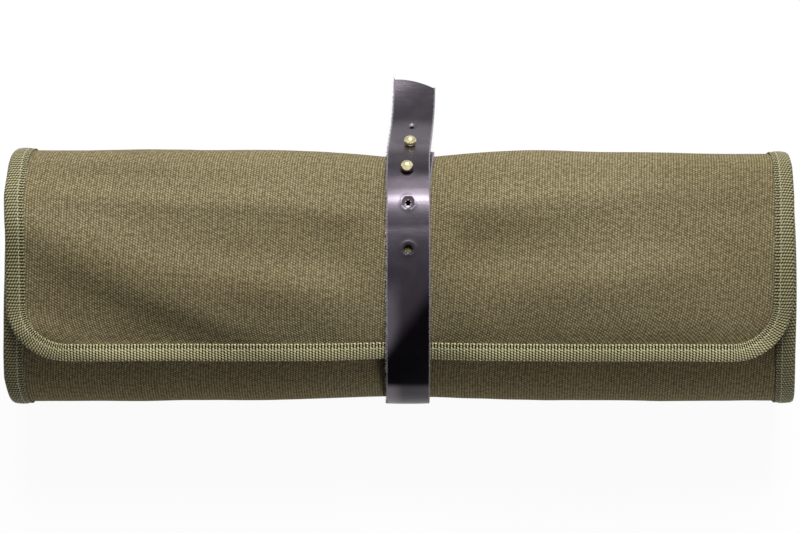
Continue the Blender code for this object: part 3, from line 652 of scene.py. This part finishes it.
def flapPath():
    radius, half = layers["cornerRadius"], roll["width"] / 2
    down = np.arange(underside, radius, -tape["step"])

    def edge(distance, side):
        return float(edgeAt(wrapAt(distance), side))
    right = [(edge(distance, "right"), distance, 0.0) for distance in down]
    left = [(edge(distance, "left"), distance, math.pi) for distance in reversed(down)]
    rightCorner, leftCorner = [], []
    for turn in np.radians(np.arange(0, 91, tape["cornerStep"])):
        aside, distance = radius * (1 - math.cos(turn)), radius * (1 - math.sin(turn))
        rightCorner.append((edge(distance, "right") - aside, distance, turn))
        leftCorner.append((edge(distance, "left") + aside, distance, math.pi - turn))
    xs = np.arange(half - radius - tape["frontGap"], radius - half + tape["frontStep"], -tape["frontStep"])
    front = [(x, 0.0, math.pi / 2) for x in xs]
    return np.array(right + rightCorner + front + leftCorner[::-1] + left).T


def sidePath(distances, side):
    turn = math.pi if side == "left" else 0.0
    return edgeAt(wrapAt(distances), side), distances, np.full(len(distances), turn)


flapTape = tapeRun("tapeFlapAndBack", *flapPath(), tapeMaterial)
bodyDistances = np.arange(underside, innerEnd + tape["step"] / 2, tape["step"])
bodyDistances[-1] = innerEnd
sideTapes = [tapeRun(f"tapeBody{side.capitalize()}", *sidePath(bodyDistances, side), shadedTapeMaterial)
             for side in ("left", "right")]
endHalf = float(edgeAt(roll["innerEnd"], "right")) - layers["tapeWide"] - tape["endGap"]
endXs = np.linspace(-endHalf, endHalf, tape["endSteps"])
endTape = tapeRun("tapeInnerEnd", endXs, np.full(len(endXs), innerEnd), np.full(len(endXs), -math.pi / 2),
                  shadedTapeMaterial)
print("edge tape folded on")


# stitches: beads of thread along the tape's inner edge
stitch = {"pitch": 0.0027, "length": 0.0023, "radius": 0.00022, "inwards": 0.008, "lift": 0.00025,
          "shownTo": 430.0, "segments": (6, 5), "crease": 80.0}


def stitchRow(name, xs, distances, turns):
    run = runLengths(xs, distances)
    bm = bmesh.new()
    around, ring = stitch["segments"]
    marks = np.arange(stitch["pitch"], run[-1] - stitch["pitch"], stitch["pitch"])
    ends = []
    for shift in (-0.5, 0.5):
        lengths = marks + shift * stitch["length"]
        turn = np.interp(lengths, run, turns)
        x = np.interp(lengths, run, xs) - stitch["inwards"] * np.cos(turn)
        distance = np.interp(lengths, run, distances) + stitch["inwards"] * np.sin(turn)
        ends.append(clothPlace(x, distance, -layers["tapeTop"] - stitch["lift"]))
    for first, second in zip(*ends):
        first, second = Vector(first), Vector(second)
        bead = bmesh.ops.create_uvsphere(bm, u_segments=around, v_segments=ring, radius=1.0)["verts"]
        size = Matrix.Diagonal((stitch["radius"], stitch["radius"], (second - first).length / 2, 1.0))
        middle = Matrix.Translation((first + second) / 2)
        bmesh.ops.transform(bm, matrix=middle @ turnTo(second - first) @ size, verts=bead)
    return finishMesh(name, bm, threadMaterial, stitch["crease"])


flapStitches = stitchRow("stitchesFlap", *flapPath())
shown = bodyDistances[bodyDistances < distanceAt(stitch["shownTo"])]
bodyStitches = [stitchRow(f"stitches{side.capitalize()}", *sidePath(shown, side))
                for side in ("left", "right")]
print("stitches sewn")


# the pocket panel on the lining, sewn down between the knives
pocket = {"start": 430.0, "sweep": 79.0, "count": 5, "shown": 0.998, "puff": 0.007, "foot": 0.06,
          "puffIn": 0.24, "mouth": 0.07, "gap": 0.0003, "taper": (0.003, 0.018), "thick": 0.001,
          "flatWide": 0.286, "grid": (44, 100)}
pocketSweep = pocket["sweep"] * pocket["count"]


def pocketPlace(u, v):
    wrap = pocket["start"] + pocketSweep * pocket["shown"] * v
    left = edgeAt(pocket["start"], "left") + layers["tapeWide"] + pocket["gap"]
    x = left + (pocket["mouth"] - left) * u
    place = np.mod((wrap - pocket["start"]) / pocket["sweep"], 1.0)
    rise = rising(place, pocket["foot"], pocket["puffIn"])
    rise = rise * rising(1 - pocket["foot"] - place, 0.0, pocket["puffIn"])
    rise = rise * rising(x - left, *pocket["taper"])
    return rollPlace(wrap, x, layers["pocketOn"] + pocket["puff"] * rise)


def pocketFlat(u, v):
    start = pocket["start"]
    return u * pocket["flatWide"], v * (distanceAt(start + pocketSweep) - distanceAt(start))


pocketPanel = layOut("pocketPanel", *pocket["grid"], pocketPlace, pocketFlat, pocket["thick"],
                     liningMaterial, "lining_cloth")
print("pockets sewn")

for piece in (flapCanvas, flapLining, flapTape, flapStitches):
    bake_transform(piece)
for piece in (bodyCanvas, bodyLining, *sideTapes, endTape, *bodyStitches, pocketPanel):
    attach(piece, "root")
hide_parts("flap_canvas")
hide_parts("outer_canvas")
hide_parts("flap_lining")
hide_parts("lining")
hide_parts("flap_binding")
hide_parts("left_binding")
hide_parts("right_binding")
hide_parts("inner_end_binding")
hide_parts(*[f"pocket_{number}" for number in range(1, 6)])


# the leather strap, cut flat, punched and then bent round the roll
strap = {"width": layers["strapWide"], "thick": 0.0025, "fit": 0.0003, "tip": 38.0, "frontHinge": 300.0,
         "topHinge": -35.0, "tailHinge": 42.5, "backHinge": 122.0, "leaves": 78.0, "tapeRamp": 10.0,
         "ride": (22.0, 15.0), "tapeThick": 0.0011, "frontCut": -78.0, "topCut": 3.0,
         "studShift": 0.0026, "shiftWrap": 85.0, "shiftBack": 0.01, "shiftReach": 0.04, "drift": 0.0041,
         "flare": 0.045, "endHeight": 0.0006, "leaveReach": 0.01, "footReach": 0.028, "tailSteps": 40,
         "footSlope": 30.0, "lowerStud": 53.7, "studPitch": 0.025, "holePitch": 0.0265,
         "firstHole": 0.0205, "probe": 0.0024, "step": 0.0016, "fineStep": 0.0009, "edge": 0.0006,
         "crown": 0.00025, "twist": 6.0, "twistFrom": 0.034, "studRise": 0.001, "studReach": 0.0062,
         "lipWide": 0.0008, "lipOut": 0.0003, "dishWide": 0.011, "endFrom": 0.012,
         "endCut": (0.0022, 0.0018, 0.002), "bendHalf": 0.006, "underStep": 2.0, "overStep": 1.0,
         "topShare": 0.9, "dentShare": 0.7, "starPoints": 12, "roundPoints": 28, "drillLong": 0.008,
         "drillFrom": -0.003, "near": 0.0001, "edgeSteps": 3, "merge": 0.000002, "crease": 38.0}


def strapLift(wrap):
    ramp = strap["tapeRamp"]
    onto = rising(wrap, roll["flapTip"] - 2 * ramp, ramp)
    off = rising(wrap, float(wrapAt(layers["tapeWide"])) + ramp / 2, ramp)
    over = (strap["thick"] + strap["fit"]) * rising(wrap, *strap["ride"])
    return strap["tapeThick"] * (onto - off) + over


def strapLine():
    under = np.arange(strap["tip"], strap["frontHinge"], strap["underStep"])
    over = np.arange(strap["frontHinge"] - roll["turn"], strap["leaves"], strap["overStep"])
    lower = rollPlace(under, roll["strapX"], -strap["fit"])
    upper = rollPlace(over, roll["strapX"], -strap["fit"] - strapLift(over))
    leave = upper[-1]
    heading = upper[-1] - upper[-2]
    foot = np.array([roll["strapX"], leave[1] + strap["flare"], strap["endHeight"]])
    slope = math.radians(strap["footSlope"])
    first = leave + heading / np.linalg.norm(heading) * strap["leaveReach"]
    second = foot - np.array([0, math.cos(slope), -math.sin(slope)]) * strap["footReach"]
    share = (np.arange(1, strap["tailSteps"] + 1) / strap["tailSteps"])[:, None]
    rest = 1 - share
    tail = (leave * rest ** 3 + first * 3 * share * rest ** 2 + second * 3 * share ** 2 * rest
            + foot * share ** 3)
    line = np.vstack([lower, upper, tail])
    return line, lengthsAlong(line), under, over


strapPoints, strapLengths, underWraps, overWraps = strapLine()
strapEnd = float(strapLengths[-1])


def underLength(wrap):
    return float(np.interp(wrap, underWraps, strapLengths[:len(underWraps)]))


def overLength(wrap):
    start = len(underWraps)
    return float(np.interp(wrap, overWraps, strapLengths[start:start + len(overWraps)]))


def strapAt(length):
    return np.stack([np.interp(length, strapLengths, strapPoints[:, axis]) for axis in (1, 2)], -1)


def strapPlace(length):
    ahead = strapAt(length + strap["probe"]) - strapAt(length - strap["probe"])
    ahead /= np.linalg.norm(ahead, axis=-1, keepdims=True)
    return strapAt(length), np.stack([-ahead[..., 1], ahead[..., 0]], -1)


lowerStud = overLength(strap["lowerStud"])
upperStud = lowerStud + strap["studPitch"]
backCut = underLength(strap["backHinge"])


def strapMiddle(length):
    stray = strap["drift"] * rising(length, lowerStud, strapEnd - lowerStud)
    shift = strap["studShift"] * smooth(length / underLength(strap["shiftWrap"]))
    shift = shift * (1 - rising(length, backCut - strap["shiftBack"], strap["shiftReach"]))
    return roll["strapX"] + stray + shift


# the strap's own shape: lifted by the stud flanges and twisted at its free end
def strapRise(x, length):
    rise = np.zeros(len(x))
    for stud in (lowerStud, upperStud):
        rise += strap["studRise"] * np.exp(-((length - stud) / strap["studReach"]) ** 2 / 2)
    past = np.maximum(0.0, length - (strapEnd - strap["twistFrom"]))
    return rise + strap["twist"] * (strap["width"] / 2 - x) * past


def bendStrap(bm):
    flat = np.array([vert.co for vert in bm.verts])
    spot, out = strapPlace(flat[:, 1])
    onTop = flat[:, 2] > strap["thick"] * strap["topShare"]
    crown = strap["crown"] * (1 - (flat[:, 0] / (strap["width"] / 2)) ** 2) * onTop
    rise = flat[:, 2] + crown + strapRise(flat[:, 0], flat[:, 1])
    x = flat[:, 0] + strapMiddle(flat[:, 1])
    y = spot[:, 0] + out[:, 0] * rise
    z = spot[:, 1] + out[:, 1] * rise
    for vert, place in zip(bm.verts, zip(x, y, z)):
        vert.co = place


def endShape(x, length):
    tail = strapEnd - strap["endFrom"]
    across = x / (strap["width"] / 2)
    back, slant, curve = strap["endCut"]
    end = strapEnd - back - slant * across - curve * across ** 2
    return np.where(length > tail, tail + (length - tail) * (end - tail) / (strapEnd - tail), length)


def raiseFaces(bm, height):
    raised = bmesh.ops.extrude_face_region(bm, geom=bm.faces[:])["geom"]
    verts = [item for item in raised if isinstance(item, bmesh.types.BMVert)]
    bmesh.ops.translate(bm, vec=(0, 0, height), verts=verts)


def punch(name, piece, hole):
    drill = bmesh.new()
    segments = strap["starPoints"] if hole["waist"] else strap["roundPoints"]
    ring = bmesh.ops.create_circle(drill, cap_ends=True, segments=segments, radius=hole["radius"])["verts"]
    if hole["waist"]:
        for number, vert in enumerate(ring):
            vert.co *= 1.0 if number % 2 else hole["waist"]
    raiseFaces(drill, strap["drillLong"])
    bmesh.ops.translate(drill, vec=(hole["x"], hole["at"], strap["drillFrom"]), verts=drill.verts)
    bmesh.ops.recalc_face_normals(drill, faces=drill.faces)
    cutter = newObject(name, meshFrom(name, drill))
    cut = piece.modifiers.new("punch", "BOOLEAN")
    cut.operation = "DIFFERENCE"
    cut.solver = "EXACT"
    cut.object = cutter
    return cutter


def dentAt(flat, holes):
    dent = np.zeros(len(flat))
    for hole in holes:
        away = np.hypot(flat[:, 0] - hole["x"], flat[:, 1] - hole["at"])
        lip = hole["radius"] + hole["slope"] + strap["lipOut"]
        dent -= hole["dent"] * (1 - rising(away, hole["radius"], hole["slope"]))
        dent += hole["lip"] * bell(away, lip, strap["lipWide"])
        dent -= hole["dish"] * bell(away, 0.0, strap["dishWide"])
    return dent * (flat[:, 2] > strap["thick"] * strap["dentShare"])


def strapPiece(name, start, end, holes):
    step = strap["fineStep"] if holes else strap["step"]
    bm = clothGrid(round(strap["width"] / step), round((end - start) / step))
    bmesh.ops.scale(bm, vec=(strap["width"], end - start, 1), verts=bm.verts)
    bmesh.ops.translate(bm, vec=(0, (start + end) / 2, 0), verts=bm.verts)
    raiseFaces(bm, strap["thick"])
    bmesh.ops.recalc_face_normals(bm, faces=bm.faces)
    side, level = strap["width"] / 2 - strap["near"], strap["near"]
    long = [edge for edge in bm.edges if all(abs(vert.co.x) > side for vert in edge.verts)
            and abs(edge.verts[0].co.z - edge.verts[1].co.z) < level]
    bmesh.ops.bevel(bm, geom=long, offset=strap["edge"], offset_type="OFFSET", segments=strap["edgeSteps"],
                    profile=0.5, affect="EDGES", material=-1)
    blank = newObject(f"{name}Blank", meshFrom(f"{name}Blank", bm))
    cutters = [punch(f"{name}Punch", blank, hole) for hole in holes]
    bpy.context.view_layer.update()
    graph = bpy.context.evaluated_depsgraph_get()
    bm = bmesh.new()
    bm.from_mesh(blank.evaluated_get(graph).to_mesh())
    for spare in (blank, *cutters):
        bpy.data.objects.remove(spare)
    bmesh.ops.remove_doubles(bm, verts=bm.verts, dist=strap["merge"])
    flat = np.array([vert.co for vert in bm.verts])
    lengths = endShape(flat[:, 0], flat[:, 1])
    for vert, length, drop in zip(bm.verts, lengths, dentAt(flat, holes)):
        vert.co.y = length
        vert.co.z += drop
    layer = bm.loops.layers.uv.active
    for face in bm.faces:
        for loop in face.loops:
            loop[layer].uv = loop.vert.co.xy
    bendStrap(bm)
    return finishMesh(name, bm, leatherMaterial, strap["crease"])


fringe = {"base": 0.00019, "tip": 0.00007, "shortest": 0.3, "root": 0.0005, "inwards": 0.0002,
          "low": 0.0006, "high": 0.0001, "endLeft": 0.001, "endRight": 0.0036, "swing": (-0.9, 0.9),
          "dip": (-0.5, 0.6), "crease": 60.0, "left": (4200, 0.0016), "right": (1500, 0.001),
          "rightStudEnd": (3000, 0.0015)}  # the last three: fibres per metre and the longest


def fibreFringe(name, start, end, side, perMetre, longest):
    bm = bmesh.new()
    last = min(end, strapEnd - fringe["endLeft"] - fringe["endRight"] * (side > 0))
    edge = side * (strap["width"] / 2 - fringe["inwards"])
    lay = Matrix.Rotation(math.pi / 2, 4, "Y")
    flip = Matrix.Diagonal((side, 1, 1, 1))
    for _ in range(int((end - start) * perMetre)):
        length = longest * dice.uniform(fringe["shortest"], 1.0)
        hair = bmesh.ops.create_cone(bm, cap_ends=True, segments=3, radius1=fringe["base"],
                                     radius2=fringe["tip"], depth=length)["verts"]
        lean = Matrix.Rotation(dice.uniform(*fringe["swing"]), 4, "Z")
        lean = lean @ Matrix.Rotation(dice.uniform(*fringe["dip"]), 4, "Y")
        y = dice.uniform(start, last)
        z = dice.uniform(fringe["low"], strap["thick"] - fringe["high"])
        push = Matrix.Translation((length / 2 - fringe["root"], 0, 0))
        place = Matrix.Translation((edge, y, z))
        bmesh.ops.transform(bm, matrix=place @ flip @ lean @ push @ lay, verts=hair)
    bendStrap(bm)
    bmesh.ops.recalc_face_normals(bm, faces=bm.faces)
    return finishMesh(name, bm, fibreMaterial, fringe["crease"])


frontCut = overLength(strap["frontCut"])
topCut = overLength(strap["topCut"])
bottomCut = underLength(roll["underside"])
firstHole = lowerStud - strap["firstHole"]
frontBend = overLength(strap["frontHinge"] - roll["turn"])
plain = {"x": 0.0, "waist": None, "radius": 0.0024, "dent": 0.0003, "slope": 0.001, "lip": 0.0003,
         "dish": 0.0002}
overStud = {**plain, "dent": 0.0002, "lip": 0.0001, "dish": 0.0}
holes = [{**plain, "at": firstHole - strap["holePitch"]},
         {**plain, "at": firstHole, "waist": 0.62, "radius": 0.0021, "dent": 0.0005, "slope": 0.0015,
          "dish": 0.0003},
         {**overStud, "at": lowerStud, "x": -0.0007},
         {**overStud, "at": upperStud, "x": 0.0002},
         {**plain, "at": upperStud + strap["holePitch"], "waist": 0.5, "radius": 0.0019, "dent": 0.0004,
          "slope": 0.0014}]
spans = {"StudEnd": (0.0, bottomCut, "root", "stud_end", backCut),
         "Front": (bottomCut, frontCut, "root", "strap_front", frontBend),
         "Top": (frontCut, topCut, "strap_front", "strap_top", overLength(strap["topHinge"])),
         "Tail": (topCut, strapEnd, "strap_top", "strap_tail", overLength(strap["tailHinge"]))}
strapNodes = {"StudEnd": ("strap_stud_end", "strap_back"), "Front": ("strap_front",),
              "Top": ("strap_top",), "Tail": ("strap_tail",)}
for label, (start, end, still, moving, bendAt) in spans.items():
    piece = strapPiece(f"strap{label}", start, end, [hole for hole in holes if start < hole["at"] < end])
    right = fringe["rightStudEnd" if label == "StudEnd" else "right"]
    fibres = [fibreFringe(f"fibresLeft{label}", start, end, -1, *fringe["left"]),
              fibreFringe(f"fibresRight{label}", start, end, 1, *right)]
    spot, out = strapPlace(np.array([bendAt]))
    for bent in (piece, *fibres):
        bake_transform(bent)
    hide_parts(*strapNodes[label])
print("strap bent round")


# brass button studs
stud = {"head": 0.0037, "neck": 0.002, "clear": 0.0007, "flange": 0.0036, "flangeThick": 0.0005,
        "flare": 0.0004, "foot": 0.0005, "squash": 0.93, "headSteps": 18, "around": 48,
        "merge": 0.000005, "crease": 35.0, "lowerShift": -0.0007, "upperShift": 0.0012}


def turnedStud(name, length, shift, node):
    spot, out = strapPlace(np.array([length]))
    outward = Vector((0, out[0, 0], out[0, 1]))
    flange, neck, head = stud["flangeThick"], stud["neck"], stud["head"]
    base = Vector((roll["strapX"] + shift, spot[0, 0], spot[0, 1])) - outward * (2 * strap["fit"] + flange)
    neckTop = flange + 2 * strap["fit"] + strap["thick"] + stud["clear"]
    start = -math.acos(neck / head)
    centre = neckTop - head * math.sin(start)
    profile = [(0.0, 0.0), (stud["flange"], 0.0), (stud["flange"], flange), (neck + stud["flare"], flange),
               (neck, flange + stud["foot"]), (neck, neckTop)]
    for step in range(1, stud["headSteps"] + 1):
        turn = start + (math.pi / 2 - start) * step / stud["headSteps"]
        radius = head * math.cos(turn) if step < stud["headSteps"] else 0.0
        profile.append((radius, centre + head * math.sin(turn) * stud["squash"]))
    bm = bmesh.new()
    verts = [bm.verts.new((radius, 0, height)) for radius, height in profile]
    edges = [bm.edges.new(pair) for pair in zip(verts, verts[1:])]
    bmesh.ops.spin(bm, geom=verts + edges, axis=(0, 0, 1), cent=(0, 0, 0), steps=stud["around"],
                   angle=2 * math.pi, use_merge=True)
    bmesh.ops.remove_doubles(bm, verts=bm.verts, dist=stud["merge"])
    bmesh.ops.recalc_face_normals(bm, faces=bm.faces)
    bmesh.ops.transform(bm, matrix=Matrix.Translation(base) @ turnTo(outward), verts=bm.verts)
    piece = finishMesh(name, bm, brassMaterial, stud["crease"])
    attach(piece, "stud_end")
    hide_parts(node)


turnedStud("studLower", lowerStud, stud["lowerShift"], "stud_lower")
turnedStud("studUpper", upperStud, stud["upperShift"], "stud_upper")
hidden = ("stud_screw_lower", "stud_screw_upper", "rivet_front", "rivet_rear", "rivet_washer_front",
          "rivet_washer_rear")
for node in hidden:
    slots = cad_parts[node].data.materials
    for number in range(len(slots)):
        slots[number] = brassMaterial
print("studs turned")


# floor, lamps and world
studio = {"floor": 4.0, "floorZ": -0.0003, "floorGrey": (0.8, 0.8, 0.8), "roughness": 0.9,
          "floorWhite": 0.95, "world": 0.055, "aim": (0, 0, 0.04)}


def seenWhite(tree):
    rays = addNode(tree, "ShaderNodeLightPath").outputs
    seen = sums(tree, "MAXIMUM", rays["Is Camera Ray"], rays["Is Glossy Ray"])
    return sums(tree, "MAXIMUM", seen, rays["Is Transmission Ray"])


def floorMaterial():
    material, tree, shader = newMaterial("paleFloor", studio)
    plug(tree, studio["floorGrey"], shader["Base Color"])
    glow = addNode(tree, "ShaderNodeEmission", {"Strength": 1.0}).outputs[0]
    plain = tree.nodes["Principled BSDF"].outputs[0]
    share = times(tree, seenWhite(tree), studio["floorWhite"])
    mix = addNode(tree, "ShaderNodeMixShader", {0: share, 1: plain, 2: glow})
    plug(tree, mix.outputs[0], tree.nodes["Material Output"].inputs["Surface"])
    return material


bm = bmesh.new()
bmesh.ops.create_grid(bm, x_segments=1, y_segments=1, size=studio["floor"])
bmesh.ops.translate(bm, vec=(0, 0, studio["floorZ"]), verts=bm.verts)
floor = newObject("floor", meshFrom("floor", bm))
floor.data.materials.append(floorMaterial())

lights = {"key": {"place": (0.15, 1.86, 1.6), "size": 1.0, "power": 122.0},
          "fill": {"place": (0.7, -1.6, 0.2), "size": 0.45, "power": 15.0}}
for label, light in lights.items():
    lamp = bpy.data.lights.new(label, "AREA")
    lamp.shape = "SQUARE"
    lamp.size = light["size"]
    lamp.energy = light["power"]
    holder = newObject(label, lamp)
    holder.location = light["place"]
    heading = Vector(studio["aim"]) - holder.location
    holder.rotation_euler = heading.to_track_quat("-Z", "Y").to_euler()

world = bpy.data.worlds.new("studio")
bpy.context.scene.world = world
world.use_nodes = True
tree = world.node_tree
backdrop = tree.nodes["Background"].inputs
plug(tree, (1.0, 1.0, 1.0), backdrop["Color"])
plug(tree, spread(tree, seenWhite(tree), 0.0, 1.0, studio["world"], 1.0, "LINEAR"), backdrop["Strength"])
bpy.context.scene.view_settings.view_transform = "Standard"
print("lit")
